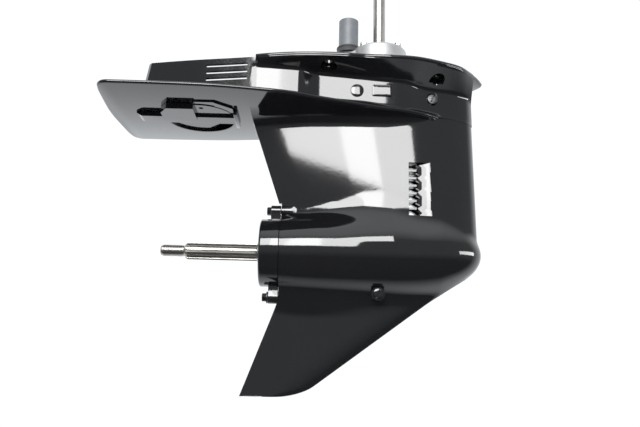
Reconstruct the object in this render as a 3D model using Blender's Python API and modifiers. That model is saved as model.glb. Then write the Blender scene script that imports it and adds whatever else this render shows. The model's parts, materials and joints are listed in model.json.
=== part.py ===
# Outboard motor lower unit: gearcase, gears, dog clutch, shafts, water pump, trim tab and fasteners.
#
# All lengths are millimetres and become metres when a mesh is made. Stations are measured forward (+X)
# from the driveshaft axis and heights up (+Z) from the propeller shaft axis, with +Y to port. The world
# origin is on the top mating face, on the land between the pump bay and the exhaust chamber.
import math

import bmesh
import bpy
from mathutils import Matrix, Vector

MM = 0.001
DRIVE_X = 67.0             # world station of the driveshaft axis
FACE_Z = 246.0             # mating face above the propeller shaft axis

# strut and torpedo
NOSE_X = 132.0
SEAM_X = -127.7            # where the torpedo ends and the bearing carrier begins
TORPEDO_R = 49.0
TORPEDO_AFT_R = 44.5
STRUT_LEAD_X = 131.0
STRUT_HALF = 33.0
STRUT_TRAIL_HALF = 2.4
TRAIL_RAKE = 0.345         # how far the trailing edge runs aft for each millimetre up
TRAIL_X_AT_AXIS = -108.5
STRUT_TOP = 236.0

# skeg
SKEG_LEAD_X = 96.2
SKEG_LEAD_Z = -36.8
SKEG_SWEEP = 1.345
SKEG_TOE_Z = -168.0
SKEG_BOTTOM_Z = -181.6
SKEG_FOOT_X = -128.0
SKEG_TRAIL_X = -119.0
SKEG_TRAIL_RAKE = 0.3676

# plate and flange, as (station, half-width) round the starboard side from the stern forward
PLATE_Z = 190.0
PLATE_THICK = 5.0
PLATE_DROOP = 9.0
PLATE_SIDE = [(-366, 14), (-363.5, 50), (-360.5, 82), (-356.5, 96), (-348.5, 103), (-330, 104), (-272, 103),
              (-240, 102), (-207, 99.5), (-161, 93), (-119, 85), (-86, 74), (-46, 64.5), (-6, 55.5),
              (33, 49.7), (58, 41), (88, 20)]
LIP_THICK = 5.5
LIP_SIDE = [(-165, 74), (-144, 79), (-112, 84), (-57, 86), (-22, 83), (9, 82.5), (42, 79.5), (77, 67),
            (102, 54), (120, 35), (135, 15), (142, 3)]
WALL_SIDE = [(-311, 36), (-305, 38), (-251, 50), (-195, 61), (-164, 65.6), (-112, 65), (-57, 62), (0, 50),
             (50, 36), (88, 23), (112, 12), (126, 2)]
WALL_TOP_Z = 243.0
STERN_SLANT = 0.14
BOSS_PLACES = [(-66, 69), (60, 55)]
BOSS_R = 11.0

# hollows
WALL_THICK = 4.5
PUMP_BAY_Z = 232.0
PUMP_BAY_R = 41.5
OUTLET_X = -43.0           # the water tube's axis
GEAR_BORE_R = 40.0
CARRIER_BORE_R = 42.2
EXHAUST_FLOOR_Z = 199.0
INTAKE_FRONT_X = 67.0
INTAKE_AFT_X = 36.0
INTAKE_LOW_Z = 47.0
INTAKE_HIGH_Z = 118.0
INTAKE_SLOTS = 7
TAIL_SLOT_HEIGHTS = [217.0, 226.5, 236.0]

# bevel gears: straight teeth, shafts at right angles
PINION_TEETH = 13
GEAR_TEETH = 24
MODULE = 3.083
CONE_DISTANCE = MODULE * math.hypot(PINION_TEETH, GEAR_TEETH) / 2
GEAR_FACE = 12.0

# shafts
DRIVE_R = 8.5
DRIVE_TOP = 626.0
PROP_R = 12.5
SPLINE_R = 11.0
PROP_TIP_X = -282.3
SHIFT_X = 75.0
SHIFT_R = 5.0
CRANK_ARM = 6.5

# trim tab
TAB_X = -242.0
TAB_R = 48.0
TAB_TOP = PLATE_Z - PLATE_THICK / 2 - 0.3

# sides of a turned piece, for the largest radius that each number of sides serves
ROUNDNESS = ((5.5, 10), (10.0, 14), (26.0, 20), (1000.0, 28))
# pieces with so many crossing bores that the exact solver leaves a few edges open
MANIFOLD_NODES = ("gearcase_housing", "bearing_carrier", "prop_shaft", "pump_housing", "trim_tab")

# finish name: colour, roughness, metallic
FINISHES = {
    "black_paint": ((0.006, 0.006, 0.007), 0.16, 0.0),
    "bare_steel": ((0.56, 0.55, 0.53), 0.28, 1.0),
    "gear_steel": ((0.33, 0.32, 0.31), 0.35, 1.0),
    "cast_alloy": ((0.62, 0.62, 0.61), 0.42, 1.0),
    "rubber": ((0.012, 0.012, 0.012), 0.7, 0.0),
    "grey_plastic": ((0.05, 0.052, 0.055), 0.45, 0.0),
    "bronze": ((0.45, 0.30, 0.14), 0.4, 1.0),
}


def collection(name):
    made = bpy.data.collections.new(name)
    bpy.context.scene.collection.children.link(made)
    return made


def at(x, y, z):
    """World place of a point given from the driveshaft axis and the propeller shaft axis."""
    return Vector((DRIVE_X + x, y, z - FACE_Z)) * MM


def add_object(name, mesh, place=(0, 0, 0), turn=(0, 0, 0)):
    made = bpy.data.objects.new(name, mesh)
    made.location = at(*place)
    made.rotation_euler = turn
    parts.objects.link(made)
    return made


def add_mesh(name, shape):
    """Turns a bmesh drawn in millimetres into a mesh in metres with its faces pointing out."""
    bmesh.ops.recalc_face_normals(shape, faces=shape.faces)
    bmesh.ops.scale(shape, vec=(MM, MM, MM), verts=shape.verts)
    mesh = bpy.data.meshes.new(name)
    shape.to_mesh(mesh)
    shape.free()
    return mesh


AXIS_TURNS = {"Z": (0, 0, 0), "X": (0, math.pi / 2, 0), "Y": (-math.pi / 2, 0, 0)}


def turned(name, profile, place=(0, 0, 0), axis="Z", steps=None):
    """A body of revolution. The profile's (radius, height) points run down its outer side."""
    closed = profile[0][0] > 0
    edges = [(index, index + 1) for index in range(len(profile) - 1)]
    if closed:
        edges.append((len(profile) - 1, 0))
    mesh = bpy.data.meshes.new(name)
    mesh.from_pydata([(radius * MM, 0, height * MM) for radius, height in profile], edges, [])
    made = add_object(name, mesh, place, AXIS_TURNS[axis])
    screw = made.modifiers.new("turn", "SCREW")
    if steps is None:
        widest = max(radius for radius, _ in profile)
        steps = next(sides for limit, sides in ROUNDNESS if widest < limit)
    screw.steps = steps
    screw.render_steps = steps
    screw.use_merge_vertices = True
    screw.merge_threshold = 0.00001
    return made


def rod(name, radius, low, high, place=(0, 0, 0), axis="Z", steps=None):
    return turned(name, [(0, high), (radius, high), (radius, low), (0, low)], place, axis, steps)


def ring(name, inner, outer, low, high, place=(0, 0, 0), axis="Z"):
    profile = [(inner, high), (outer, high), (outer, low), (inner, low)]
    return turned(name, profile, place, axis)


def move_origin(made, place):
    """Puts an unturned piece's origin on its joint axis and leaves its mesh where it is."""
    made.data.transform(Matrix.Translation(made.location - at(*place)))
    made.location = at(*place)


def block(name, low, high):
    shape = bmesh.new()
    bmesh.ops.create_cube(shape, size=1.0)
    size = [b - a for a, b in zip(low, high)]
    bmesh.ops.scale(shape, vec=size, verts=shape.verts)
    middle = [(a + b) / 2 for a, b in zip(low, high)]
    return add_object(name, add_mesh(name, shape), middle)


def prism(name, outline, low, high):
    """A flat outline in plan, extruded between two heights."""
    curve = bpy.data.curves.new(name, "CURVE")
    curve.dimensions = "2D"
    curve.fill_mode = "BOTH"
    curve.extrude = (high - low) / 2 * MM
    spline = curve.splines.new("POLY")
    spline.points.add(len(outline) - 1)
    for point, (x, y) in zip(spline.points, outline):
        point.co = (x * MM, y * MM, 0, 1)
    spline.use_cyclic_u = True
    guide = bpy.data.objects.new(name + "_curve", curve)
    parts.objects.link(guide)
    shape = bmesh.new()
    shape.from_mesh(bpy.data.meshes.new_from_object(guide.evaluated_get(bpy.context.evaluated_depsgraph_get())))
    bpy.data.objects.remove(guide)
    bmesh.ops.remove_doubles(shape, verts=shape.verts, dist=0.00001)
    bmesh.ops.scale(shape, vec=(1 / MM, 1 / MM, 1 / MM), verts=shape.verts)
    return add_object(name, add_mesh(name, shape), (0, 0, (low + high) / 2))


def loft(name, rings, closed=False):
    """Joins rings of equal point counts, capping the ends unless the last ring meets the first."""
    shape = bmesh.new()
    rows = [[shape.verts.new(point) for point in points] for points in rings]
    count = len(rows[0])
    pairs = list(zip(rows, rows[1:]))
    if closed:
        pairs.append((rows[-1], rows[0]))
    else:
        shape.faces.new(rows[0])
        shape.faces.new(rows[-1])
    for lower, upper in pairs:
        for index in range(count):
            after = (index + 1) % count
            shape.faces.new((lower[index], lower[after], upper[after], upper[index]))
    bmesh.ops.triangulate(shape, faces=[face for face in shape.faces if len(face.verts) > 4])
    return add_mesh(name, shape)


def combine(target, tool, operation):
    modifier = target.modifiers.new(tool.name, "BOOLEAN")
    modifier.operation = operation
    modifier.object = tool
    if target.name in MANIFOLD_NODES:
        modifier.solver = "MANIFOLD"
    parts.objects.unlink(tool)
    tools.objects.link(tool)
    tool.hide_render = True
    tool.display_type = "WIRE"


def join(target, *pieces):
    for piece in pieces:
        combine(target, piece, "UNION")
    return target


def cut(target, *pieces):
    for piece in pieces:
        combine(target, piece, "DIFFERENCE")
    return target


def both_sides(side, inset=0.0, first=-1000.0, last=1000.0):
    """A whole outline from a list of (station, half-width), set in by a wall and cut off at two stations."""
    kept = [(x, half - inset) for x, half in side if first < x < last and half - inset > 1]
    for end, where in ((first, 0), (last, len(kept) + 1)):
        if side[0][0] < end < side[-1][0]:
            kept.insert(where, (end, half_width(side, end) - inset))
    return [(x, -half) for x, half in kept] + [(x, half) for x, half in reversed(kept)]


def half_width(side, station):
    for (x0, half0), (x1, half1) in zip(side, side[1:]):
        if x0 <= station <= x1:
            return half0 + (half1 - half0) * (station - x0) / (x1 - x0)
    return 0.0


def circle(radius, count, x=0.0, y=0.0, start=0.0, end=2 * math.pi):
    full = abs(end - start - 2 * math.pi) < 1e-6
    steps = count if full else count - 1
    angles = [start + (end - start) * index / steps for index in range(count)]
    return [(x + radius * math.cos(angle), y + radius * math.sin(angle)) for angle in angles]


# ---------------------------------------------------------------- gearcase
def foil_thickness(share):
    """Half-thickness of a symmetric foil, 1 at its thickest, for a share of the chord from the leading edge."""
    share = min(max(share, 0.0), 1.0)
    terms = 0.2969 * math.sqrt(share) - 0.126 * share - 0.3516 * share ** 2
    return max(0.0, 10 * (terms + 0.2843 * share ** 3 - 0.1036 * share ** 4))


def foil_ring(lead, trail, half, trail_half, z, count=12):
    """One horizontal section, round from the leading edge along one side and back along the other."""
    side = []
    for index in range(count):
        share = (1 - math.cos(math.pi * index / (count - 1))) / 2
        side.append((lead + (trail - lead) * share, half * foil_thickness(share) + trail_half * share))
    near = [(x, -y, z) for x, y in side]
    far = [(x, y, z) for x, y in reversed(side[1:])]
    return near + far


def strut():
    rings = []
    for z in (0, 50, 100, 150, 190, STRUT_TOP):
        trail = TRAIL_X_AT_AXIS - TRAIL_RAKE * z
        rings.append(foil_ring(STRUT_LEAD_X - 0.02 * z, trail, STRUT_HALF, STRUT_TRAIL_HALF, z))
    return add_object("strut", loft("strut", rings))


def torpedo_radius(x):
    if x < 0:
        return TORPEDO_R - (TORPEDO_R - TORPEDO_AFT_R) * (x / SEAM_X) ** 2.9
    return TORPEDO_R * math.sqrt(max(0.0, 1 - (x / NOSE_X) ** 2.3))


def torpedo():
    nose = [NOSE_X * math.sin(math.pi / 2 * index / 10) for index in range(10, 0, -1)]
    stations = nose + [0, -50, -90, SEAM_X]
    profile = [(torpedo_radius(x), x) for x in stations]
    return turned("torpedo", profile + [(0, SEAM_X)], axis="X")


def skeg():
    rings = []
    for z in (-28, -60, -95, -130, SKEG_TOE_Z, -174, -178.5, SKEG_BOTTOM_Z):
        lead = SKEG_LEAD_X + SKEG_SWEEP * (z - SKEG_LEAD_Z)
        if z < SKEG_TOE_Z:
            toe_x = SKEG_LEAD_X + SKEG_SWEEP * (SKEG_TOE_Z - SKEG_LEAD_Z)
            depth = (SKEG_TOE_Z - z) / (SKEG_TOE_Z - SKEG_BOTTOM_Z)
            lead = toe_x - (toe_x - SKEG_FOOT_X) * (1 - math.sqrt(1 - depth ** 2))
        share = (z - SKEG_LEAD_Z) / (SKEG_BOTTOM_Z - SKEG_LEAD_Z)
        half = 7.5 - 4.2 * min(max(share, 0.0), 1.0)
        trail = SKEG_TRAIL_X + SKEG_TRAIL_RAKE * (z - SKEG_LEAD_Z)
        rings.append(foil_ring(lead, trail, half, 1.2, z, count=8))
    return add_object("skeg", loft("skeg", rings))


def droop(x):
    """How far the plate has fallen from its level stern part at a station."""
    return PLATE_DROOP * max(0.0, x + 100) / 188


def slab(name, side, low, high):
    """A body lofted along the hull from (station, half-width) pairs, between two heights at each station."""
    rings = []
    for x, half in side:
        rings.append([(x, -half, low(x)), (x, half, low(x)), (x, half, high(x)), (x, -half, high(x))])
    return add_object(name, loft(name, rings))


def plate():
    return slab("plate", PLATE_SIDE, lambda x: PLATE_Z - PLATE_THICK / 2 - droop(x),
                lambda x: PLATE_Z + PLATE_THICK / 2 - droop(x))


def upper_wall():
    made = slab("upper_wall", WALL_SIDE, lambda x: PLATE_Z - droop(x), lambda x: WALL_TOP_Z)
    for vertex in made.data.vertices:
        if vertex.co.x < -300 * MM:
            vertex.co.x += STERN_SLANT * (vertex.co.z - PLATE_Z * MM)
    return made


def flange():
    pieces = [prism("lip", both_sides(LIP_SIDE), FACE_Z - LIP_THICK, FACE_Z)]
    for x, y in BOSS_PLACES:
        for side in (-y, y):
            pieces.append(rod("bolt_boss", BOSS_R, 222, FACE_Z - 2, (x, side, 0)))
    return pieces


def carrier_bolt_bosses():
    upper = rod("upper_bolt_boss", 8, -128.2 + 0.5, -104, (0, 0, 55.7), "X")
    lower = rod("lower_bolt_boss", 8, -128.2 + 0.5, -104, (0, 0, -58), "X")
    return [upper, lower]


def shaft_bores():
    """Everything bored on the propeller shaft axis and the driveshaft axis."""
    main = [(0, 36), (GEAR_BORE_R, 36), (GEAR_BORE_R, -110), (CARRIER_BORE_R, -110),
            (CARRIER_BORE_R, -140), (0, -140)]
    race = rod("race_seat", 30.4, 30, 57, axis="X")
    nose = rod("cam_room", 12.0, 50, 90, axis="X")
    drive = [(0, 300), (22.4, 300), (22.4, 199.7), (12, 199.7), (12, 76.5), (15.3, 76.5), (15.3, 51.3),
             (23.6, 51.3), (23.6, 20), (0, 20)]
    return [
        turned("main_bore", main, axis="X"),
        race,
        nose,
        turned("drive_bore", drive),
        rod("shift_bore", 6.0, 0, 300, (SHIFT_X, 0, 0)),
        rod("crank_room", 9.4, 0, 15.5, (SHIFT_X, 0, 0)),
        rod("shift_bush_seat", 10.0, 231.7, 300, (SHIFT_X, 0, 0)),
        block("upper_ear_room", (-150, -9, 42), (SEAM_X, 9, 66.5)),
        block("lower_ear_room", (-150, -9, -69), (SEAM_X, 9, -42)),
    ]


def pump_bay():
    lobe = prism("outlet_lobe", [(0, -20), (0, 20)] + circle(19, 9, OUTLET_X, 0, math.pi / 2, 3 * math.pi / 2),
                 PUMP_BAY_Z, 260)
    bay = rod("pump_bay", PUMP_BAY_R, PUMP_BAY_Z, 261)
    bolts = [rod("pump_bolt_hole", 3.3, 214, 240, place) for place in pump_bolt_places()]
    return [bay, lobe] + bolts


def exhaust_way():
    chamber = prism("exhaust_chamber", both_sides(WALL_SIDE, WALL_THICK + 1.5, -158, -76), EXHAUST_FLOOR_Z, 262)
    duct = [(-44, -13), (-44, 13), (-80, 12), (-110, 5), (-110, -5), (-80, -12)]
    tail = prism("tail_hollow", both_sides(WALL_SIDE, WALL_THICK, -299, -170), 197, 263)
    return [chamber, prism("exhaust_duct", duct, 28, 210), tail]


def tail_slots():
    return [block("tail_slot", (-230, -80, z - 1.8), (-176, 80, z + 1.8)) for z in TAIL_SLOT_HEIGHTS]


def intake_way():
    """The comb of slots on both flanks and the passage from them up to the pump."""
    pieces = [block("intake_gallery", (29, -21, 50), (58, 21, 115)), block("intake_riser", (29, -9, 100), (44, 9, 240))]
    pitch = (INTAKE_HIGH_Z - INTAKE_LOW_Z) / INTAKE_SLOTS
    for side in (-1, 1):
        ramp = [(INTAKE_FRONT_X, 34.5 * side), (46.5, 26 * side), (46.5, 45 * side), (INTAKE_FRONT_X, 45 * side)]
        pieces.append(prism("intake_ramp", ramp, INTAKE_LOW_Z, INTAKE_HIGH_Z))
        for index in range(INTAKE_SLOTS):
            low = INTAKE_LOW_Z + pitch * (index + 0.22)
            edges = sorted((18 * side, 45 * side))
            pieces.append(block("intake_slot", (INTAKE_AFT_X, edges[0], low), (47, edges[1], low + pitch * 0.56)))
    return pieces


def small_holes():
    """Flange bolt holes, carrier bolt holes, plug holes, dowel holes and the trim tab's bolt hole."""
    pieces = []
    for x, y in BOSS_PLACES:
        for side in (-y, y):
            pieces.append(rod("flange_hole", 5.2, 200, 270, (x, side, 0)))
    for side in (-1, 1):
        pieces.append(rod("dowel_hole", 4.3, 232, 260, (-153, 68 * side, 0)))
    pieces.append(rod("upper_bolt_hole", 3.3, -140, -108, (0, 0, 55.7), "X"))
    pieces.append(rod("lower_bolt_hole", 3.3, -140, -108, (0, 0, -58), "X"))
    pieces.append(rod("vent_spotface", 8.6, -60, -31.5, (VENT_PLACE[0], 0, VENT_PLACE[2]), "Y"))
    pieces.append(rod("vent_hole", 5.3, -60, -9, (VENT_PLACE[0], 0, VENT_PLACE[2]), "Y"))
    pieces.append(rod("drain_hole", 4.6, -60, 3, (DRAIN_PLACE[0], 0, DRAIN_PLACE[2]), "Y"))
    pieces.append(rod("tab_bolt_hole", 5.3, 180, 220, (TAB_X, 0, 0)))
    return pieces


def gearcase():
    case = strut()
    case.name = "gearcase_housing"
    drain_pad = rod("drain_pad", 10.0, -22.5, 8, (DRAIN_PLACE[0], 0, DRAIN_PLACE[2]), "Y")
    vent_pad = rod("vent_pad", 9.0, -31.5, -10, (VENT_PLACE[0], 0, VENT_PLACE[2]), "Y")
    join(case, torpedo(), skeg(), plate(), upper_wall(), *flange(), *carrier_bolt_bosses(), drain_pad, vent_pad)
    cut(case, *shaft_bores(), *pump_bay(), *exhaust_way(), *tail_slots(), *intake_way(), *small_holes())
    return case


# ---------------------------------------------------------------- bearing carrier and its fasteners
def bearing_carrier():
    rim = [(36, -111), (41.8, -111), (41.8, -120), (40.2, -120), (40.2, -124), (41.8, -124), (41.8, -128),
           (44.4, -128), (44.4, -151.5), (42.5, -153.7), (36, -153.7)]
    core = [(31.8, -40), (39.6, -40), (39.6, -66), (22, -66), (22, -152), (17, -152), (17, -58.5), (31.8, -58.5)]
    made = turned("bearing_carrier", rim, axis="X")
    join(made, turned("carrier_core", core, axis="X"))
    for index in range(4):
        spoke = block("carrier_spoke", (-150, -3, 20), (-64, 3, 38.5))
        move_origin(spoke, (0, 0, 0))
        spoke.rotation_euler = (math.pi / 4 + math.pi / 2 * index, 0, 0)
        join(made, spoke)
    for z in (55.7, -58):
        web_z = sorted((z, math.copysign(40, z)))
        join(made, rod("carrier_ear", 8, -141.6, -128, (0, 0, z), "X"))
        join(made, block("ear_web", (-141.2, -7.5, web_z[0]), (-128.4, 7.5, web_z[1])))
        cut(made, rod("ear_hole", 3.4, -160, -120, (0, 0, z), "X"))
    return made


def hex_bolt(name, place, axis, head_flats, head_low, head_high, shank_r, shank_low, shank_high, side=6):
    """A hexagon head and its shank, both along one axis, as a single body."""
    head = rod(name, head_flats / math.sqrt(3), head_low, head_high, place, axis, side)
    return join(head, rod(name + "_shank", shank_r, shank_low, shank_high, place, axis))


def carrier_fasteners():
    made = [hex_bolt("carrier_bolt_upper", (0, 0, 55.7), "X", 10, -146.8, -141.9, 3, -142.2, -112)]
    made.append(hex_bolt("carrier_bolt_lower", (0, 0, -58), "X", 10, -149, -143.6, 3, -144, -112))
    washer = ring("carrier_washer_lower", 3.4, 7.5, -143.3, -141.9, (0, 0, -58), "X")
    o_ring = ring("carrier_o_ring", 40.5, 41.9, -123.5, -120.5, axis="X")
    return made, washer, o_ring


# ---------------------------------------------------------------- gears and clutch
def tooth_ring(teeth, mate, share, phase):
    """One end of a bevel gear's teeth. Share is 1 at the large end; phase is in tooth pitches."""
    half_cone = math.atan2(teeth, mate)
    distance = CONE_DISTANCE * share
    pitch_r = distance * math.sin(half_cone)
    addendum, dedendum = 0.78 * MODULE * share, 1.1 * MODULE * share
    slope = math.tan(math.radians(21))
    half_pitch = math.pi * MODULE * share / 4 * 0.84
    corners = []
    for rise, half in ((-dedendum, half_pitch + dedendum * slope), (addendum, half_pitch - addendum * slope)):
        radius = pitch_r + rise * math.cos(half_cone)
        height = distance * math.cos(half_cone) - rise * math.sin(half_cone)
        corners.append((radius, height, min(half / pitch_r, math.pi / teeth * 0.97)))
    (root_r, root_z, root_half), (tip_r, tip_z, tip_half) = corners
    points = []
    for index in range(teeth):
        middle = 2 * math.pi * (index + phase) / teeth
        for angle, radius, height in ((middle - root_half, root_r, root_z), (middle - tip_half, tip_r, tip_z),
                                      (middle + tip_half, tip_r, tip_z), (middle + root_half, root_r, root_z)):
            points.append((radius * math.cos(angle), radius * math.sin(angle), height))
    return points


def bevel_gear(name, teeth, mate, phase, bore, front, back, hub, turn):
    """A toothed rim round a turned hub. Front, back and hub give (radius, height) from the cone's apex."""
    small = tooth_ring(teeth, mate, 1 - GEAR_FACE / CONE_DISTANCE, phase)
    large = tooth_ring(teeth, mate, 1, phase)

    def plain(radius, height):
        angles = [math.atan2(y, x) for x, y, _ in large]
        return [(radius * math.cos(angle), radius * math.sin(angle), height) for angle in angles]

    rim = [plain(hub[0][0] - 1.5, front), small, large, plain(*back), plain(hub[0][0] - 1.5, back[1])]
    made = add_object(name, loft(name, rim, closed=True), (0, 0, 0), turn)
    profile = [(bore, hub[-1][1])] + hub[::-1] + [(bore, hub[0][1])]
    core = turned(name + "_hub", profile)
    core.rotation_euler = turn
    return join(made, core)


def clutch_lugs(name, count, inner, outer, low, high, start, turn):
    """Blocks of arc that stand on a gear or on the clutch dog."""
    pieces = []
    span = math.radians(46)
    for index in range(count):
        middle = start + 2 * math.pi * index / count
        outline = circle(outer, 5, start=middle - span / 2, end=middle + span / 2)
        outline += reversed(circle(inner, 5, start=middle - span / 2, end=middle + span / 2))
        lug = prism(name, outline, low, high)
        for vertex in lug.data.vertices:
            vertex.co.z += (low + high) / 2 * MM
        lug.location = at(0, 0, 0)
        lug.rotation_euler = turn
        pieces.append(lug)
    return pieces


FORWARD = (0, math.pi / 2, 0)
ASTERN = (0, -math.pi / 2, 0)


def gear_train():
    pinion = bevel_gear("pinion_gear", PINION_TEETH, GEAR_TEETH, 0, 8.35, 27.5, (19, 41),
                        [(11.2, 26.5), (11.2, 40), (14.4, 40.5), (14.4, 49.5)], (0, 0, 0))
    forward = bevel_gear("forward_gear", GEAR_TEETH, PINION_TEETH, 0.5, 11.5, 16.4, (36.5, 27),
                         [(19.5, 15.5), (19.5, 30.5), (17.8, 31), (17.8, 56)], FORWARD)
    join(forward, *clutch_lugs("forward_lug", 3, 13, 18, 12.7, 16.5, 0, FORWARD))
    reverse = bevel_gear("reverse_gear", GEAR_TEETH, PINION_TEETH, 0, 13.2, 16.4, (36.5, 27),
                         [(19.6, 15.5), (19.6, 57)], ASTERN)
    join(reverse, *clutch_lugs("reverse_lug", 3, 14, 18, 12.7, 16.5, 0, ASTERN))
    return pinion, forward, reverse


def clutch():
    dog = ring("clutch_dog", 11.4, 18.3, -6.5, 6.5, axis="X")
    join(dog, *clutch_lugs("dog_lug", 3, 13, 18, 6.0, 9.4, math.pi / 3, FORWARD))
    join(dog, *clutch_lugs("dog_lug", 3, 14, 18, 6.0, 9.4, math.pi / 3, ASTERN))
    cut(dog, rod("dog_pin_hole", 3.3, -30, 30), ring("dog_groove", 17.2, 30, -2, 2, axis="X"))
    pin = rod("clutch_cross_pin", 3.0, -16.6, 16.6)
    retainer = ring("clutch_pin_retainer", 17.45, 18.5, -1.6, 1.6, axis="X")
    plunger = turned("shift_plunger", [(0, 84.5), (8.5, 84.5), (8.5, 77.4), (4, 77.4), (4, 72.6), (8.5, 72.6),
                                       (8.5, 66), (5.2, 66), (5.2, -6), (0, -6)], axis="X")
    cut(plunger, rod("plunger_eye", 3.3, -30, 30))
    return dog, pin, retainer, plunger


def shifter():
    shaft = rod("shift_shaft", SHIFT_R, 14, 268, (SHIFT_X, 0, 0))
    crank = rod("shift_crank", 8.6, 9.3, 13.7, (SHIFT_X, 0, 0))
    pin = rod("crank_pin", 1.6, -2.5, 10, (SHIFT_X, -CRANK_ARM, 0))
    join(crank, pin)
    bush = ring("shift_shaft_bushing", 5.4, 9.7, 232, 243, (SHIFT_X, 0, 0))
    seal = ring("shift_shaft_seal", 5.4, 9.7, 243.3, 245.6, (SHIFT_X, 0, 0))
    return shaft, crank, bush, seal


# ---------------------------------------------------------------- shafts and bearings
def spline_teeth(name, teeth, root, ends):
    """Square spline teeth on a core, given as (station, tip radius) along the propeller shaft."""
    rings = []
    for station, tip in ends:
        ring_points = []
        for index in range(teeth):
            for share, radius in ((0.02, root), (0.08, tip), (0.46, tip), (0.52, root)):
                angle = 2 * math.pi * (index + share) / teeth
                ring_points.append((station, radius * math.cos(angle), radius * math.sin(angle)))
        rings.append(ring_points)
    return add_object(name, loft(name, rings))


def prop_shaft():
    profile = [(0, 60), (10, 60), (SPLINE_R, 59), (SPLINE_R, -60), (PROP_R, -61), (PROP_R, -157),
               (9.6, -159), (9.6, -250), (7.75, -253.1), (7.75, -279.7), (6.4, PROP_TIP_X), (0, PROP_TIP_X)]
    made = turned("prop_shaft", profile, axis="X")
    join(made, spline_teeth("spline", 15, 8.6, [(-249.8, 9.0), (-247, SPLINE_R), (-157.5, SPLINE_R)]))
    slot = block("pin_slot", (-6.3, -3.3, -30), (6.3, 3.3, 30))
    return cut(made, rod("plunger_bore", 5.6, -9, 90, axis="X"), slot)


def driveshaft():
    profile = [(0, DRIVE_TOP), (7.6, DRIVE_TOP), (DRIVE_R, DRIVE_TOP - 1), (DRIVE_R, 52), (8, 51), (8, 27),
               (6, 26), (6, 20.8), (0, 20.8)]
    made = turned("driveshaft", profile)
    nut = rod("pinion_nut", 9.6, 20.4, 26, steps=6)
    cut(nut, rod("nut_bore", 6.3, 10, 30))
    return made, nut


def bearings():
    made = [
        ring("pinion_needle_bearing", 8.85, 15.0, 52, 76),
        turned("forward_bearing_cone", [(18.1, 54), (21, 54), (25.5, 37), (18.1, 37)], axis="X"),
        turned("forward_bearing_cup", [(23, 56), (30, 56), (30, 37), (27.5, 37)], axis="X"),
        ring("reverse_gear_bearing", 20, 31.4, -57.5, -41, axis="X"),
        turned("driveshaft_bearing_cone", [(8.85, 220), (15.5, 220), (12.5, 202), (8.85, 202)]),
        turned("driveshaft_bearing_cup", [(18, 220.5), (22, 220.5), (22, 200), (15, 200)]),
        ring("propshaft_needle_bearing", 12.85, 16.7, -120, -98, axis="X"),
        ring("propshaft_seal_inner", 12.85, 16.7, -141, -134, axis="X"),
        ring("propshaft_seal_outer", 12.85, 16.7, -149, -142, axis="X"),
    ]
    return made


# ---------------------------------------------------------------- water pump
def pump_bolt_places():
    angles = [math.radians(45 + 90 * index) for index in range(4)]
    return [(33 * math.cos(angle), 33 * math.sin(angle), 0) for angle in angles]


def pump_outline(grow=0.0):
    """Round body with the outlet lobe aft, in plan."""
    lobe_half = 13.5 + grow
    body_r = 38 + grow
    start = math.pi - math.asin(lobe_half / body_r)
    body = circle(body_r, 25, start=-start, end=start)
    return body + circle(lobe_half, 9, OUTLET_X, 0, math.pi / 2, 3 * math.pi / 2)


def pump_housing():
    made = prism("pump_housing", pump_outline(), 239, 276)
    join(made, rod("pump_dome", 38, 270, 287), rod("outlet_boss", 13.5, 270, 283, (OUTLET_X, 0, 0)))
    cavity = rod("pump_cavity", 28.3, 230, 265.5)
    neck = rod("pump_neck", 10, 230, 300)
    outlet = rod("pump_outlet", 9, 242, 300, (OUTLET_X, 0, 0))
    way = block("pump_way", (-43, -7, 244), (-20, 7, 258))
    tube_room = rod("tube_room", 17.2, 283, 300, (OUTLET_X, 0, 0))
    holes = [rod("pump_hole", 3.3, 230, 300, place) for place in pump_bolt_places()]
    return cut(made, cavity, neck, tube_room, outlet, way, *holes)


def pump_plate(name, low, high, bore):
    made = prism(name, pump_outline(), low, high)
    cut(made, rod(name + "_bore", bore, 220, 300), block(name + "_inlet", (16, -6, 220), (25, 6, 300)))
    return cut(made, *[rod(name + "_hole", 3.3, 220, 300, place) for place in pump_bolt_places()])


def impeller():
    made = ring("impeller", 8.85, 13, 243, 261.5)
    for index in range(6):
        vane = block("vane", (11.5, -1.6, 243.3), (24.4, 1.6, 261.2))
        move_origin(vane, (0, 0, 0))
        vane.rotation_euler = (0, 0, math.pi / 3 * index)
        join(made, vane)
    return cut(made, block("key_way", (8, -1.9, 240), (11.3, 1.9, 264)))


def water_pump():
    made = [pump_housing(), pump_plate("pump_base_plate", 236.6, 238.6, 12), impeller()]
    key = block("impeller_key", (8.85, -1.6, 245), (11.0, 1.6, 259))
    move_origin(key, (0, 0, 252))
    made.append(key)
    cup = ring("pump_insert_cup", 25.2, 28, 239, 265)
    lid = ring("cup_lid", 12, 27, 262.8, 265)
    slot = block("cup_outlet", (-40, -6, 245), (-20, 6, 257))
    made.append(cut(join(cup, lid), slot))
    body = [(12, 236.2), (37.5, 236.2), (37.5, 232.4), (22, 232.4), (22, 222), (12, 222)]
    seal_body = turned("oil_seal_housing", body)
    holes = [rod("seal_body_hole", 3.3, 220, 300, place) for place in pump_bolt_places()]
    cut(seal_body, block("seal_body_inlet", (29, -7, 220), (34, 7, 300)))
    made.append(cut(seal_body, block("seal_body_way", (17, -6, 234), (30, 6, 300)), *holes))
    made.append(ring("driveshaft_seal", 8.85, 11.7, 224, 235))
    for index, place in enumerate(pump_bolt_places()):
        made.append(hex_bolt(f"pump_bolt_{index + 1}", place, "Z", 8, 287.3, 291.3, 2.9, 218, 287.8))
    made.append(ring("water_tube_grommet", 13.9, 16.5, 283.4, 293, (OUTLET_X, 0, 0)))
    made.append(ring("water_tube", 10.5, 13.6, 283.4, 334, (OUTLET_X, 0, 0)))
    return made


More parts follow.
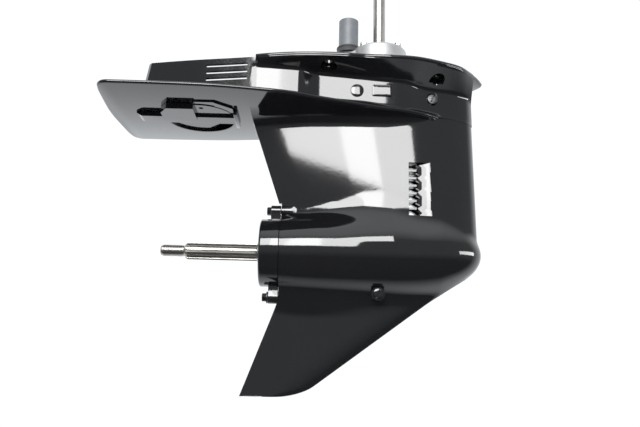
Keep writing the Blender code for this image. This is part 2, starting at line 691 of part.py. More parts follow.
# ---------------------------------------------------------------- small outside pieces
VENT_PLACE = (68.3, -33, 210)
DRAIN_PLACE = (-1.7, -24, -52.5)


def slotted_plug(name, place, head_r, shank_r, depth, seat):
    """A flat-headed screw plug whose head faces starboard, with a screwdriver slot."""
    middle = (place[0], 0, place[2])
    profile = [(0, seat + depth), (shank_r, seat + depth), (shank_r, seat), (head_r, seat), (head_r, seat - 2.2),
               (head_r - 1, seat - 3), (0, seat - 3)]
    plug = turned(name, profile, middle, "Y")
    slot = block(name + "_slot", (place[0] - 0.8, seat - 5, place[2] - 20), (place[0] + 0.8, seat - 1.6, place[2] + 20))
    return cut(plug, slot)


def plugs():
    vent_seat, drain_seat = -32.9, -23.9
    return [
        slotted_plug("oil_vent_plug", VENT_PLACE, 7, 5, 14, vent_seat),
        ring("vent_plug_gasket", 5.3, 7, vent_seat + 0.3, -31.8, (VENT_PLACE[0], 0, VENT_PLACE[2]), "Y"),
        slotted_plug("oil_drain_plug", DRAIN_PLACE, 6.5, 4.3, 14, drain_seat),
        ring("drain_plug_gasket", 4.6, 6.5, drain_seat + 0.3, -22.8, (DRAIN_PLACE[0], 0, DRAIN_PLACE[2]), "Y"),
    ]


def trim_tab():
    """A shallow round cup with a straight fin across it that runs on aft of the rim."""
    low = TAB_TOP - 9
    cup = ring("trim_tab", TAB_R - 4, TAB_R, low, TAB_TOP, (TAB_X, 0, 0))
    disc = rod("tab_disc", TAB_R - 1, TAB_TOP - 3, TAB_TOP - 0.1, (TAB_X, 0, 0))
    fin = block("tab_fin", (-337, -5, TAB_TOP - 11), (-192, 5, TAB_TOP - 0.2))
    head = block("tab_head", (-199, -9, TAB_TOP - 10), (-190, 9, TAB_TOP - 0.4))
    boss = block("tab_boss", (-292, -30, TAB_TOP - 6.5), (-224, -4, TAB_TOP - 0.6))
    join(cup, disc, fin, head, boss)
    cut(cup, rod("tab_screw_hole", 3, 150, 184, (TAB_X - 3, -20, 0)))
    cut(cup, rod("tab_bolt_bore", 5.3, 150, 210, (TAB_X, 0, 0)))
    for vertex in fin.data.vertices:
        if vertex.co.x < 0 and vertex.co.z < 0:
            vertex.co.x += 8 * MM
    bolt = hex_bolt("trim_tab_bolt", (TAB_X, 0, 0), "Z", 15, 197.6, 203, 5, 178, 198)
    return cup, bolt


def dowels():
    made = []
    for name, side in (("dowel_pin_starboard", -1), ("dowel_pin_port", 1)):
        made.append(rod(name, 4, 232.3, 252, (-153, 68 * side, 0)))
    return made


# ---------------------------------------------------------------- assembly
def finish(made, kind):
    """Gives a piece its own material."""
    colour, roughness, metallic = FINISHES[kind]
    material = bpy.data.materials.new(made.name)
    material.use_nodes = True
    shader = material.node_tree.nodes["Principled BSDF"]
    shader.inputs["Base Color"].default_value = (*colour, 1)
    shader.inputs["Roughness"].default_value = roughness
    shader.inputs["Metallic"].default_value = metallic
    made.data.materials.append(material)


def build():
    black = [gearcase(), bearing_carrier()]
    (carrier_bolts, washer, o_ring) = carrier_fasteners()
    tab, tab_bolt = trim_tab()
    pinion, forward, reverse = gear_train()
    dog, cross_pin, retainer, plunger = clutch()
    shift_shaft, crank, bush, shift_seal = shifter()
    shaft, nut = driveshaft()
    steel = [prop_shaft(), shaft, shift_shaft, tab_bolt, washer, *carrier_bolts, *dowels(), *plugs()]
    for made in black + [tab]:
        finish(made, "black_paint")
    for made in steel:
        finish(made, "bare_steel")
    for made in (pinion, forward, reverse, dog, cross_pin, retainer, plunger, crank, nut, *bearings()):
        finish(made, "rubber" if "seal" in made.name else "gear_steel")
    for made in water_pump():
        finish(made, PUMP_FINISHES.get(made.name, "bare_steel"))
    for made in (o_ring, shift_seal):
        finish(made, "rubber")
    finish(bush, "bronze")


PUMP_FINISHES = {"pump_housing": "cast_alloy", "oil_seal_housing": "cast_alloy", "impeller": "rubber",
                 "driveshaft_seal": "rubber", "water_tube_grommet": "rubber", "water_tube": "grey_plastic"}

for old in list(bpy.data.objects):
    bpy.data.objects.remove(old)
parts = collection("outboard_lower_unit")
tools = collection("cutters")
build()
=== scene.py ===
# outboard lower unit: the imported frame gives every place, this script gives the fine surfaces and finishes
import json
import math

import bmesh
import bpy
import numpy as np
from mathutils import Matrix, Vector


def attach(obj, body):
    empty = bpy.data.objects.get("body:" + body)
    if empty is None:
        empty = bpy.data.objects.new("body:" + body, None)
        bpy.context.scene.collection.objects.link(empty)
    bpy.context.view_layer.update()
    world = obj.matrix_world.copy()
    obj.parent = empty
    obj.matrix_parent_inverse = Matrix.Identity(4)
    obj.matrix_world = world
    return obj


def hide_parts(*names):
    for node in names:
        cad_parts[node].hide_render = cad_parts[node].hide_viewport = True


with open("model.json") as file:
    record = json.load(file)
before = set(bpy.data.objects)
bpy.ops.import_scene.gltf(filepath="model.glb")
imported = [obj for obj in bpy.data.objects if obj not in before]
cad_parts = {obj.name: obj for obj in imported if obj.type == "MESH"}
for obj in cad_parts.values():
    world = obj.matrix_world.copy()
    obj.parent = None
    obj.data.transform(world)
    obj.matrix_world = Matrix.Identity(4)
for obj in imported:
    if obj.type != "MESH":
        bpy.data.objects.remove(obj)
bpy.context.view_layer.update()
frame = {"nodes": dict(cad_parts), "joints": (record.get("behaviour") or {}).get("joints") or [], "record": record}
jointPlaces = {joint["name"]: joint.get("pos_m") for joint in frame["joints"]}
driveX = jointPlaces["driveshaft_spin"][0]
propZ = jointPlaces["propeller_shaft_spin"][2]
mm = 0.001
print("frame loaded:", len(frame["nodes"]), "nodes")


# ---- shared helpers; every shape is drawn in millimetres from the driveshaft and propeller shaft axes
def at(x, y, z):
    return Vector((driveX + x * mm, y * mm, propZ + z * mm))


def addPiece(name, bm, body, replaced=(), material=None, sharp=38):
    mesh = bpy.data.meshes.new(name)
    bm.normal_update()
    bm.to_mesh(mesh)
    bm.free()
    piece = bpy.data.objects.new(name, mesh)
    bpy.context.scene.collection.objects.link(piece)
    finishPiece(piece, body, replaced, material, sharp)
    return piece


def finishPiece(piece, body, replaced=(), material=None, sharp=38):
    piece.data.shade_smooth()
    if sharp:
        piece.data.set_sharp_from_angle(angle=math.radians(sharp))
    if material:
        piece.data.materials.clear()
        piece.data.materials.append(material)
    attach(piece, body)
    if replaced:
        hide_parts(*replaced)


def bridge(bm, lower, upper):
    # a band of faces between two closed loops of the same length
    for i in range(len(lower)):
        j = (i + 1) % len(lower)
        bm.faces.new((lower[i], lower[j], upper[j], upper[i]))


def loftRings(rings):
    # rings: list of equal-length lists of (x, y, z) in millimetres, each a closed loop
    bm = bmesh.new()
    rows = [[bm.verts.new(at(*point)) for point in ring] for ring in rings]
    capRing(bm, rows[0])
    capRing(bm, rows[-1])
    for lower, upper in zip(rows, rows[1:]):
        bridge(bm, lower, upper)
    bmesh.ops.recalc_face_normals(bm, faces=bm.faces)
    return bm


def skinRings(rings):
    # as loftRings, for loops of any outline; their caps are cut into triangles
    bm = bmesh.new()
    rows = [[bm.verts.new(at(*point)) for point in ring] for ring in rings]
    for lower, upper in zip(rows, rows[1:]):
        bridge(bm, lower, upper)
    bm.faces.new(rows[0])
    bm.faces.new(rows[-1])
    bmesh.ops.triangulate(bm, faces=[face for face in bm.faces if len(face.verts) > 4])
    bmesh.ops.recalc_face_normals(bm, faces=bm.faces)
    return bm


def capRing(bm, row):
    # rings run down one side and back up the other, so strips from side to side close them
    for i in range(len(row) // 2 - 1):
        bm.faces.new((row[i], row[i + 1], row[-(i + 2)], row[-(i + 1)]))


def lathe(profile, place=(0, 0, 0), axis="Z", steps=64):
    # profile: (radius, height) pairs from the top down the outer side; one that starts off the axis is closed
    bm = bmesh.new()
    turn = {"Z": Matrix.Identity(3), "X": Matrix.Rotation(math.pi / 2, 3, "Y"),
            "Y": Matrix.Rotation(-math.pi / 2, 3, "X")}[axis]
    rows = []
    for radius, height in profile:
        if radius == 0:
            rows.append([bm.verts.new(at(*(turn @ Vector((0, 0, height)) + Vector(place))))])
            continue
        row = []
        for i in range(steps):
            angle = 2 * math.pi * i / steps
            local = turn @ Vector((radius * math.cos(angle), radius * math.sin(angle), height))
            row.append(bm.verts.new(at(*(local + Vector(place)))))
        rows.append(row)
    pairs = list(zip(rows, rows[1:])) + ([(rows[-1], rows[0])] if profile[0][0] > 0 else [])
    for upper, lower in pairs:
        for i in range(steps):
            j = (i + 1) % steps
            ring = [upper[i % len(upper)], upper[j % len(upper)],
                    lower[j % len(lower)], lower[i % len(lower)]]
            corners = [v for n, v in enumerate(ring) if v not in ring[:n]]
            if len(corners) > 2:
                bm.faces.new(corners)
    bmesh.ops.recalc_face_normals(bm, faces=bm.faces)
    return bm


def arc(cx, cy, radius, start, end, count=5):
    # points of an arc in (radius, height) or plan coordinates, angles in degrees
    angles = [math.radians(start + (end - start) * i / (count - 1)) for i in range(count)]
    return [(cx + radius * math.cos(a), cy + radius * math.sin(a)) for a in angles]


def boxBm(low, high, round=0.0, segments=3):
    bm = bmesh.new()
    bmesh.ops.create_cube(bm, size=1.0)
    size = [b - a for a, b in zip(low, high)]
    middle = [(a + b) / 2 for a, b in zip(low, high)]
    bmesh.ops.scale(bm, vec=[s * mm for s in size], verts=bm.verts)
    if round:
        bmesh.ops.bevel(bm, geom=list(bm.edges), offset=round * mm, segments=segments, profile=0.5,
                        affect="EDGES")
    bmesh.ops.translate(bm, vec=at(*middle), verts=bm.verts)
    return bm


def asObject(bm, name="tool"):
    mesh = bpy.data.meshes.new(name)
    bm.to_mesh(mesh)
    bm.free()
    made = bpy.data.objects.new(name, mesh)
    bpy.context.scene.collection.objects.link(made)
    return made


def smoothLine(points, count):
    # centripetal Catmull-Rom line through given points, evenly resampled
    pts = [np.array(p, float) for p in points]
    pts = [2 * pts[0] - pts[1]] + pts + [2 * pts[-1] - pts[-2]]
    line = []
    for p0, p1, p2, p3 in zip(pts, pts[1:], pts[2:], pts[3:]):
        t = [0.0]
        for a, b in ((p0, p1), (p1, p2), (p2, p3)):
            t.append(t[-1] + max(np.linalg.norm(b - a), 1e-6) ** 0.5)
        for u in np.linspace(t[1], t[2], 24, endpoint=False):
            a1 = (t[1] - u) / (t[1] - t[0]) * p0 + (u - t[0]) / (t[1] - t[0]) * p1
            a2 = (t[2] - u) / (t[2] - t[1]) * p1 + (u - t[1]) / (t[2] - t[1]) * p2
            a3 = (t[3] - u) / (t[3] - t[2]) * p2 + (u - t[2]) / (t[3] - t[2]) * p3
            b1 = (t[2] - u) / (t[2] - t[0]) * a1 + (u - t[0]) / (t[2] - t[0]) * a2
            b2 = (t[3] - u) / (t[3] - t[1]) * a2 + (u - t[1]) / (t[3] - t[1]) * a3
            line.append((t[2] - u) / (t[2] - t[1]) * b1 + (u - t[1]) / (t[2] - t[1]) * b2)
    line.append(pts[-2])
    line = np.array(line)
    length = np.concatenate([[0], np.cumsum(np.linalg.norm(np.diff(line, axis=0), axis=1))])
    even = np.linspace(0, length[-1], count)
    return np.column_stack([np.interp(even, length, line[:, k]) for k in range(line.shape[1])])


# ---- camera: a 40 mm lens a little below the torpedo's level, looking up at the plate
cameraSettings = {"lens": 40.0, "azimuth": -0.39, "elevation": -13.59, "roll": 1.40, "distance": 0.940,
                  "target": (-77.1, 0.0, 54.7)}


def makeCamera(s):
    azimuth, elevation, roll = (math.radians(s[k]) for k in ("azimuth", "elevation", "roll"))
    back = Vector((math.sin(azimuth) * math.cos(elevation), -math.cos(azimuth) * math.cos(elevation),
                   math.sin(elevation)))
    right = Vector((math.cos(azimuth), math.sin(azimuth), 0))
    up = back.cross(right)
    turnedRight = math.cos(roll) * right + math.sin(roll) * up
    turnedUp = -math.sin(roll) * right + math.cos(roll) * up
    data = bpy.data.cameras.new("camera")
    data.lens = s["lens"]
    data.sensor_width = 36.0
    data.clip_start = 0.01
    camera = bpy.data.objects.new("camera", data)
    bpy.context.scene.collection.objects.link(camera)
    rotation = Matrix((turnedRight, turnedUp, back)).transposed().to_4x4()
    camera.matrix_world = Matrix.Translation(at(*s["target"]) + back * s["distance"]) @ rotation
    bpy.context.scene.camera = camera


makeCamera(cameraSettings)
print("camera placed")


# ---- finishes
def newMaterial(name):
    material = bpy.data.materials.new(name)
    material.use_nodes = True
    nodes, links = material.node_tree.nodes, material.node_tree.links
    return material, nodes, links, nodes["Principled BSDF"]


def newGroup(name, inputs, outputs):
    group = bpy.data.node_groups.new(name, "ShaderNodeTree")
    for label, default in inputs:
        socket = group.interface.new_socket(label, in_out="INPUT", socket_type="NodeSocketFloat")
        socket.default_value = default
    for label in outputs:
        group.interface.new_socket(label, in_out="OUTPUT", socket_type="NodeSocketFloat")
    return group, group.nodes.new("NodeGroupInput"), group.nodes.new("NodeGroupOutput")


def mathNode(tree, operation, first, second=None, clamp=False):
    node = tree.nodes.new("ShaderNodeMath")
    node.operation = operation
    node.use_clamp = clamp
    for socket, value in ((node.inputs[0], first), (node.inputs[1], second)):
        if value is None:
            continue
        if isinstance(value, (int, float)):
            socket.default_value = value
        else:
            tree.links.new(value, socket)
    return node.outputs[0]


def noiseNode(tree, scale, detail=2.0, vector=None, roughness=0.5):
    node = tree.nodes.new("ShaderNodeTexNoise")
    node.inputs["Detail"].default_value = detail
    node.inputs["Roughness"].default_value = roughness
    if isinstance(scale, (int, float)):
        node.inputs["Scale"].default_value = scale
    else:
        tree.links.new(scale, node.inputs["Scale"])
    if vector is None:
        vector = tree.nodes.new("ShaderNodeTexCoord").outputs["Object"]
    tree.links.new(vector, node.inputs["Vector"])
    return node.outputs["Fac"]


def ramp(tree, value, low, high, fromValue=0.0, toValue=1.0):
    node = tree.nodes.new("ShaderNodeMapRange")
    node.clamp = True
    tree.links.new(value, node.inputs["Value"])
    for label, number in (("From Min", low), ("From Max", high), ("To Min", fromValue), ("To Max", toValue)):
        node.inputs[label].default_value = number
    return node.outputs["Result"]


def mixColour(tree, factor, first, second):
    node = tree.nodes.new("ShaderNodeMix")
    node.data_type = "RGBA"
    tree.links.new(factor, node.inputs[0])
    for socket, value in ((node.inputs[6], first), (node.inputs[7], second)):
        if isinstance(value, tuple):
            socket.default_value = (*value, 1)
        else:
            tree.links.new(value, socket)
    return node.outputs[2]


def paintWearGroup():
    # sprayed enamel: slow orange peel, fine dust specks and a few light rubs
    group, source, sink = newGroup("paintWear", [("peelSize", 260.0), ("dust", 0.5), ("rubs", 0.5)],
                                   ["height", "dustMask", "rubMask"])
    peel = noiseNode(group, source.outputs["peelSize"], 2.0)
    slow = noiseNode(group, 38.0, 1.0)
    height = mathNode(group, "ADD", peel, mathNode(group, "MULTIPLY", slow, 1.6))
    group.links.new(height, sink.inputs["height"])
    specks = ramp(group, noiseNode(group, 2400.0, 2.0), 0.66, 0.78)
    patches = ramp(group, noiseNode(group, 22.0, 3.0), 0.42, 0.72)
    dust = mathNode(group, "MULTIPLY", mathNode(group, "MULTIPLY", specks, patches), source.outputs["dust"])
    group.links.new(dust, sink.inputs["dustMask"])
    stretch = group.nodes.new("ShaderNodeMapping")
    stretch.inputs["Scale"].default_value = (18.0, 900.0, 420.0)
    stretch.inputs["Rotation"].default_value = (0.2, 0.5, 0.1)
    group.links.new(group.nodes.new("ShaderNodeTexCoord").outputs["Object"], stretch.inputs["Vector"])
    streaks = ramp(group, noiseNode(group, 1.0, 3.0, stretch.outputs["Vector"]), 0.62, 0.8)
    group.links.new(mathNode(group, "MULTIPLY", mathNode(group, "MULTIPLY", streaks, patches),
                             source.outputs["rubs"]), sink.inputs["rubMask"])
    return group


def grainGroup():
    # turning marks, cast grain and smudges of bare metal
    group, source, sink = newGroup("metalGrain", [("grainSize", 900.0), ("smudge", 0.5)],
                                   ["height", "smudgeMask", "fineMask"])
    fine = noiseNode(group, source.outputs["grainSize"], 4.0, roughness=0.6)
    group.links.new(fine, sink.inputs["height"])
    group.links.new(mathNode(group, "MULTIPLY", ramp(group, noiseNode(group, 45.0, 4.0), 0.4, 0.7),
                             source.outputs["smudge"]), sink.inputs["smudgeMask"])
    group.links.new(ramp(group, fine, 0.35, 0.65), sink.inputs["fineMask"])
    return group


paintWear = paintWearGroup()
metalGrain = grainGroup()


def placeGroup(nodes, group, values):
    node = nodes.new("ShaderNodeGroup")
    node.node_tree = group
    for label, value in values.items():
        node.inputs[label].default_value = value
    return node


def bumpInto(nodes, links, height, shader, strength, distance):
    bump = nodes.new("ShaderNodeBump")
    bump.inputs["Strength"].default_value = strength
    bump.inputs["Distance"].default_value = distance
    links.new(height, bump.inputs["Height"])
    links.new(bump.outputs["Normal"], shader.inputs["Normal"])


def paintMaterial(name, base, dusty, peel, roughness, dust, rubs, bump):
    material, nodes, links, shader = newMaterial(name)
    tree = material.node_tree
    wear = placeGroup(nodes, paintWear, {"peelSize": peel, "dust": dust, "rubs": rubs})
    links.new(mixColour(tree, wear.outputs["dustMask"], base, dusty), shader.inputs["Base Color"])
    rough = mathNode(tree, "ADD", mathNode(tree, "MULTIPLY", wear.outputs["rubMask"], 0.25),
                     mathNode(tree, "MULTIPLY", wear.outputs["dustMask"], 0.5))
    links.new(mathNode(tree, "ADD", rough, roughness, clamp=True), shader.inputs["Roughness"])
    bumpInto(nodes, links, wear.outputs["height"], shader, bump, 0.0003)
    shader.inputs["Specular IOR Level"].default_value = 0.5
    return material


def metalMaterial(name, base, dull, roughness, grain, smudge, bump, metallic=1.0, spread=0.22):
    material, nodes, links, shader = newMaterial(name)
    tree = material.node_tree
    marks = placeGroup(nodes, metalGrain, {"grainSize": grain, "smudge": smudge})
    links.new(mixColour(tree, marks.outputs["smudgeMask"], base, dull), shader.inputs["Base Color"])
    rough = mathNode(tree, "MULTIPLY", marks.outputs["fineMask"], spread)
    links.new(mathNode(tree, "ADD", rough, roughness, clamp=True), shader.inputs["Roughness"])
    shader.inputs["Metallic"].default_value = metallic
    bumpInto(nodes, links, marks.outputs["height"], shader, bump, 0.0003)
    return material


blackPaint = paintMaterial("blackEnamel", (0.0045, 0.0046, 0.005), (0.16, 0.155, 0.15),
                           240.0, 0.07, 0.35, 0.5, 0.05)
shaftSteel = metalMaterial("groundSteel", (0.34, 0.33, 0.31), (0.20, 0.185, 0.17), 0.22, 1500.0, 0.5, 0.12)
gearSteel = metalMaterial("oilyGearSteel", (0.34, 0.33, 0.32), (0.17, 0.15, 0.13), 0.3, 900.0, 0.7, 0.15)
darkBolt = metalMaterial("darkPlatedBolt", (0.055, 0.055, 0.058), (0.02, 0.02, 0.02), 0.3, 700.0, 0.6, 0.15)
castAlloy = metalMaterial("castAlloy", (0.38, 0.38, 0.38), (0.25, 0.25, 0.25), 0.40, 1300.0, 0.5, 0.4)
bronzeBush = metalMaterial("bronzeBush", (0.50, 0.34, 0.17), (0.28, 0.18, 0.09), 0.35, 900.0, 0.5, 0.15)
blackRubber = metalMaterial("nitrileRubber", (0.016, 0.016, 0.017), (0.05, 0.05, 0.05), 0.55, 1600.0,
                            0.4, 0.35, 0.0)
greyTube = metalMaterial("mouldedTube", (0.075, 0.081, 0.09), (0.12, 0.13, 0.14), 0.42, 1400.0,
                         0.6, 0.15, 0.0)
slotMaterials = {"black_paint": blackPaint, "dark_bolt": darkBolt, "shaft_steel": shaftSteel,
                 "gear_steel": gearSteel, "cast_alloy": castAlloy, "rubber": blackRubber,
                 "grey_tube": greyTube, "bronze": bronzeBush}
slotOf = {part["node"]: part["material_slot"] for part in frame["record"]["subparts"]}
for nodeName, node in frame["nodes"].items():
    node.data.materials.clear()
    node.data.materials.append(slotMaterials[slotOf[nodeName]])
print("finishes ready:", len(slotMaterials))


# ---- gearcase casting
case = {"noseX": 134.0, "seamX": -127.8, "torpedoR": 49.0, "aftR": 44.4, "leadX": 130.0, "strutHalf": 33.0,
        "trailHalf": 2.2, "trailX": -108.5, "trailRake": 0.345, "plateZ": 190.0, "plateHalf": 2.5,
        "plateDroop": 9.0, "lipUnder": 240.8, "faceZ": 246.0, "skegBottom": -181.6,
        "torpedoFillet": 13.0, "torpedoFlare": 15.0,
        "skegFillet": 17.0, "plateFillet": 20.0, "topZ": 245.5,
        "webFillet": 3.0, "sternX": -319.5, "sternSlant": 0.17}
plateSide = [(-366, 14), (-363.5, 50), (-360.5, 82), (-356.5, 96), (-348.5, 103), (-330, 104), (-272, 103),
             (-240, 102), (-207, 99.5), (-161, 93), (-119, 85), (-86, 74), (-46, 64.5), (-6, 55.5),
             (33, 49.7), (58, 41), (78, 29.5), (90, 17)]
lipSide = [(-165, 74), (-144, 79), (-112, 84), (-57, 86), (-22, 83), (9, 82.5), (42, 79.5), (77, 67),
           (102, 54), (120, 35), (135, 15), (142, 3)]
wallSide = [(-320, 34.5), (-305, 38), (-251, 50), (-195, 60), (-170, 64.8), (-166, 65.6), (-160, 65.8),
            (-130, 65.8),
            (-109, 65), (-103, 63.2), (-97, 58.6), (-90, 55.4), (-80, 53.7), (-57, 52.8), (-25, 52), (10, 51),
            (28, 49.5), (36, 47), (50, 40), (70, 31), (88, 23), (112, 12), (126, 2)]
wallTop = [(-166, 233), (-127, 231), (-60, 228), (-16, 225), (30, 222), (90, 215), (113, 211), (126, 209)]


def droop(x):
    return case["plateDroop"] * np.maximum(0.0, x + 100) / 188


def smoothMin(a, b, width):
    h = np.clip(0.5 + 0.5 * (b - a) / width, 0, 1)
    return b + (a - b) * h - width * h * (1 - h)


def torpedoSquare(x):
    # square of the torpedo's radius; it runs on below zero ahead of the nose
    taper = (case["torpedoR"] - case["aftR"]) * np.abs(np.minimum(x, 0) / case["seamX"]) ** 2.9
    aft = case["torpedoR"] - taper
    nose = case["torpedoR"] ** 2 * (1 - (np.maximum(x, 0) / case["noseX"]) ** 3.0)
    return np.where(x < 0, aft ** 2, nose)


def roundDistance(offset, squareAt, x):
    # distance from a surface that is given by the square of its half-width at each station
    step = 0.5
    square = squareAt(x)
    slope = (squareAt(x + step) - squareAt(x - step)) / (2 * step)
    return (offset ** 2 - square) / np.sqrt(4 * np.maximum(offset ** 2, square) + slope ** 2 + 1e-6)


def foilSquare(x, lead, trail, half, trailHalf):
    # square of a foil's half-width; it runs on below zero ahead of the leading edge
    share = (lead - x) / (lead - trail)
    s = np.clip(share, 0.0, 1.0)
    shape = 10 * (0.2969 * np.sqrt(s) - 0.126 * s - 0.3516 * s ** 2 + 0.2843 * s ** 3 - 0.1036 * s ** 4)
    inside = (half * np.maximum(shape, 0) + trailHalf * s) ** 2
    return np.where(share < 0, (half * 2.969) ** 2 * share, inside)


def foilDistance(x, y, lead, trail, half, trailHalf):
    return roundDistance(y, lambda station: foilSquare(station, lead, trail, half, trailHalf), x)


def strutDistance(x, y, z):
    lead = case["leadX"] - 0.02 * z
    trail = case["trailX"] - case["trailRake"] * z
    return foilDistance(x, y, lead, trail, case["strutHalf"], case["trailHalf"])


def skegLead(z):
    toeZ, footX, leadX, leadZ, sweep = -168.0, -128.0, 96.2, -36.8, 1.345
    depth = np.clip((toeZ - z) / (toeZ - case["skegBottom"]), 0, 1)
    reach = leadX + sweep * (case["skegBottom"] - leadZ) - footX
    return leadX + sweep * (z - leadZ) - reach * (1 - np.sqrt(1 - depth ** 2))


def skegTrail(z):
    return -119.0 + 0.3676 * (z + 36.8)


def skegDistance(x, y, z):
    half = 7.0 - 4.0 * np.clip((z + 36.8) / (case["skegBottom"] + 36.8), 0, 1)
    return foilDistance(x, y, skegLead(z), skegTrail(z), half, 1.1)


wallLine = smoothLine(wallSide, 500)


def wallHalf(x):
    order = np.argsort(wallLine[:, 0])
    return np.interp(x, wallLine[order, 0], wallLine[order, 1], left=30, right=-20)


def bulgeDistance(x, y, z):
    # the long swelling at the skeg's root that takes the lower carrier bolt
    middle, size = (-70.0, 0.0, -50.0), (80.0, 10.5, 25.0)
    away = [((a - m) / r) ** 2 for a, m, r in zip((x, y, z), middle, size)]
    return (np.sqrt(away[0] + away[1] + away[2]) - 1) * size[1]


def caseDistance(x, y, z):
    # distance to the casting's side, with its fillets; strut and skeg fade out inside the torpedo
    strut = strutDistance(x, y, z) + 0.8 * np.maximum(10.0 - z, 0)
    skeg = skegDistance(x, y, z) + 0.8 * np.maximum(z + 30.0, 0)
    rise = 2.5 * (np.clip(x, 0, None) / case["noseX"]) ** 2
    torpedo = roundDistance(np.sqrt(y ** 2 + (z - rise) ** 2), torpedoSquare, x)
    ease = np.clip((138 - x) / 60, 0.25, 1)
    skeg = smoothMin(skeg, bulgeDistance(x, y, z), 6.0)
    flare = np.clip((x + 90) / 70, 0, 1) * np.clip((55 - x) / 40, 0.15, 1) * case["torpedoFlare"]
    both = smoothMin(strut, torpedo, (case["torpedoFillet"] + flare) * ease)
    return smoothMin(both, skeg, case["skegFillet"] * ease)


def widthAt(x, z, distance, most=120.0):
    low, high = np.zeros_like(x), np.full_like(x, most)
    for _ in range(34):
        middle = (low + high) / 2
        inside = distance(x, middle, z) < 0
        low, high = np.where(inside, middle, low), np.where(inside, high, middle)
    return (low + high) / 2


def leadAt(z, distance, inner, outer=160.0):
    low, high = inner, outer
    for _ in range(40):
        middle = (low + high) / 2
        inside = distance(np.array([middle]), np.array([0.0]), np.array([z]))[0] < 0
        low, high = (middle, high) if inside else (low, middle)
    return (low + high) / 2


def ringFrom(xs, ys, zs):
    near = [(x, -y, z) for x, y, z in zip(xs, ys, zs)]
    far = [(x, y, z) for x, y, z in zip(xs, ys, zs)][::-1]
    return near + far


def stationsFor(lead, trail, count):
    # close together at the leading edge, easing to even spacing aft
    t = np.linspace(0, 1, count)
    ease = 1 - np.cos(t * math.pi / 2)
    return lead + (trail - lead) * (0.55 * ease + 0.45 * t ** 1.6)


def lowerCase():
    # skeg, torpedo and strut up to the middle of the plate, one ring for each height
    count = 120
    angles = np.radians(np.concatenate([np.linspace(-84, -20, 34), np.linspace(-17, 86, 46)]))
    around = list(case["torpedoR"] * np.sin(angles))
    skegLevels = list(np.linspace(-168, -58, 24)) + [-55, -53, -51.5, -50.2]
    toe = [case["skegBottom"] + d for d in (0.0, 0.15, 0.6, 1.4, 2.6, 4.2, 6.2, 8.6, 11.2)]
    strutLevels = [49.6, 51, 53, 55.5, 58.5, 62, 66.4, 66.6] + list(np.linspace(70, 150, 22))
    flareLevels = list(187.5 - 36.5 * np.cos(np.linspace(0.06, math.pi / 2, 22)))
    rings = []
    for z in sorted(toe + skegLevels + around + strutLevels + flareLevels) + [190.0]:
        inner = float(skegLead(np.array(z))) - 8 if z < -45 else 20.0
        lead = leadAt(z, caseDistance, inner) if z < 60 else case["leadX"] - 0.02 * z
        if z > 66.5:
            trail = case["trailX"] - case["trailRake"] * z
        elif z < -61:
            trail = float(skegTrail(z))
        else:
            trail = case["seamX"]
        xs = stationsFor(lead, trail, count)
        rise = np.clip((z - 110) / 77.5, 0, 1)
        drop = droop(xs) * rise ** 2 * (3 - 2 * rise)
        zs = np.full(count, float(z)) - drop
        gap = np.maximum(case["plateZ"] - case["plateHalf"] - droop(xs) - zs, 0.0)
        room = plateHalfAt(xs) - widthAt(xs, zs, strutDistance) - 1
        fillet = np.minimum(case["plateFillet"], np.maximum(room, 1.5))

        def distance(x, y, zz):
            base = caseDistance(x, y, zz)
            return smoothMin(base, gap, fillet) if z > 100 else base

        ys = widthAt(xs, zs, distance)
        if z > 100:
            ys = np.minimum(ys, np.maximum(plateHalfAt(xs) - 1.5, widthAt(xs, zs, strutDistance)))
        ys[0] = 0.02
        rings.append(ringFrom(xs, ys, zs))
    return loftRings(rings)


plateLine = smoothLine(plateSide, 400)
lipLine = smoothLine(lipSide, 400)
lipOrder = lipLine[np.argsort(lipLine[:, 0])]


def plateHalfAt(x):
    order = np.argsort(plateLine[:, 0])
    return np.interp(x, plateLine[order, 0], plateLine[order, 1], left=0, right=-40)


def upperCase():
    # strut front, side walls and tail fairing between plate and flange, with the sloping web under the lip
    count = 170
    rings = []
    low, high = case["plateZ"], case["topZ"]
    near = [0.0, 0.02, 0.05, 0.09, 0.13, 0.18, 0.24]
    shares = near + list(np.linspace(0.3, 0.96, 30)) + [0.975, 0.99, 1.0]
    for share in shares:
        lead = case["leadX"] - 0.02 * (low + (high - low) * share)
        aft = case["sternX"] + case["sternSlant"] * (high - low) * share
        xs = stationsFor(lead, aft, count)
        base = low - droop(xs)
        zs = base + (high - base) * share
        under = np.maximum(zs - (case["plateZ"] + case["plateHalf"] - droop(xs)), 0.0)
        lipHalf = np.interp(xs, lipOrder[:, 0], lipOrder[:, 1], left=-50)
        room = lipHalf - wallHalf(xs)
        webFoot = np.interp(xs, [x for x, _ in wallTop], [z for _, z in wallTop])
        slope = (case["lipUnder"] - webFoot) / np.maximum(room, 4.0)
        foot = np.clip(plateHalfAt(xs) - wallHalf(xs) - 1, 0.3, 6.0)

        def distance(x, y, zz):
            both = smoothMin(y - wallHalf(x), strutDistance(x, y, zz), 8.0)
            both = smoothMin(both, under, foot)
            over = (case["lipUnder"] - slope * (lipHalf - y) - zz) / np.sqrt(1 + slope ** 2)
            return smoothMin(both, np.where(room > 2, np.maximum(over, -60.0), 60.0), case["webFillet"])

        ys = widthAt(xs, zs, distance)
        ys = np.where(room > 2, np.minimum(ys, lipHalf - 0.6), ys)
        corner = 4.0
        behind = np.clip(corner - (xs - aft), 0, corner)
        ys = np.maximum(ys - (corner - np.sqrt(np.maximum(corner ** 2 - behind ** 2, 0))), 1.0)
        ys[0] = 0.02
        rings.append(ringFrom(xs, ys, zs))
    return loftRings(rings)


